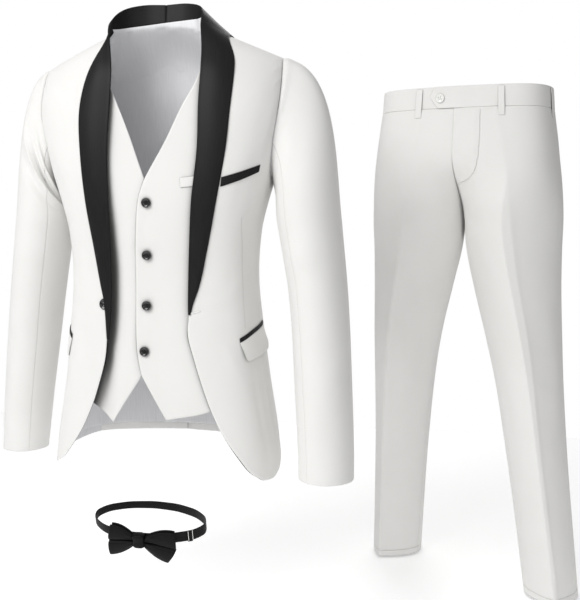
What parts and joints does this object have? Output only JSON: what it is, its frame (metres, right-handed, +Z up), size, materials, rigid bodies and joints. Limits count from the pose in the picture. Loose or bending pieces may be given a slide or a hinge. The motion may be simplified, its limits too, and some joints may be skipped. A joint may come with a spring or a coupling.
{
  "type": "tuxedo",
  "caption": "White tuxedo set: shawl-collar jacket over a V-neck vest, trousers beside it and a pre-tied bow tie, held out as if worn and hollow inside.",
  "frame": {"origin": "in the jacket's neck, on the body's axis at the height of the shoulder seams' neck ends", "axes": "+X to the wearer's left, -Y the wearer's front, +Z up"},
  "size_m": [1.0999, 0.6555, 1.1268],
  "materials": {
    "white_wool": "smooth white suiting",
    "black_satin": "black satin facing",
    "grey_lining": "grey satin lining",
    "black_button": "polished black resin",
    "white_button": "polished white resin"
  },
  "bodies": {
    "root": {"jacket_front_left": "white_wool", "jacket_side_left": "white_wool", "jacket_back_left": "white_wool", "jacket_lapel_left": "black_satin", "jacket_sleeve_top_left": "white_wool", "jacket_sleeve_under_left": "white_wool", "jacket_facing_left": "black_satin", "jacket_hip_welt_left": "black_satin", "jacket_flap_left": "white_wool", "vest_front_left": "white_wool", "trouser_front_left": "white_wool", "trouser_back_left": "white_wool", "waistband_left": "white_wool", "bow_wing_left": "black_satin", "bow_back_left": "black_satin", "jacket_front_right": "white_wool", "jacket_side_right": "white_wool", "jacket_back_right": "white_wool", "jacket_lapel_right": "black_satin", "jacket_sleeve_top_right": "white_wool", "jacket_sleeve_under_right": "white_wool", "jacket_facing_right": "black_satin", "jacket_hip_welt_right": "black_satin", "jacket_flap_right": "white_wool", "vest_front_right": "white_wool", "trouser_front_right": "white_wool", "trouser_back_right": "white_wool", "waistband_right": "white_wool", "bow_wing_right": "black_satin", "bow_back_right": "black_satin", "jacket_lining_back": "grey_lining", "jacket_breast_welt": "black_satin", "jacket_button": "black_button", "vest_back": "grey_lining", "vest_breast_welt": "white_wool", "waistband_tab": "white_wool", "waist_button": "white_button", "bow_band": "black_satin", "bow_slider": "black_button", "bow_knot": "black_satin", "vest_button_1": "black_button", "vest_button_2": "black_button", "vest_button_3": "black_button", "vest_button_4": "black_button", "belt_loop_front_left": "white_wool", "belt_loop_front_right": "white_wool", "belt_loop_side_left": "white_wool", "belt_loop_side_right": "white_wool", "belt_loop_back_left": "white_wool", "belt_loop_back_right": "white_wool", "belt_loop_centre_back": "white_wool"}
  },
  "joints": []
}
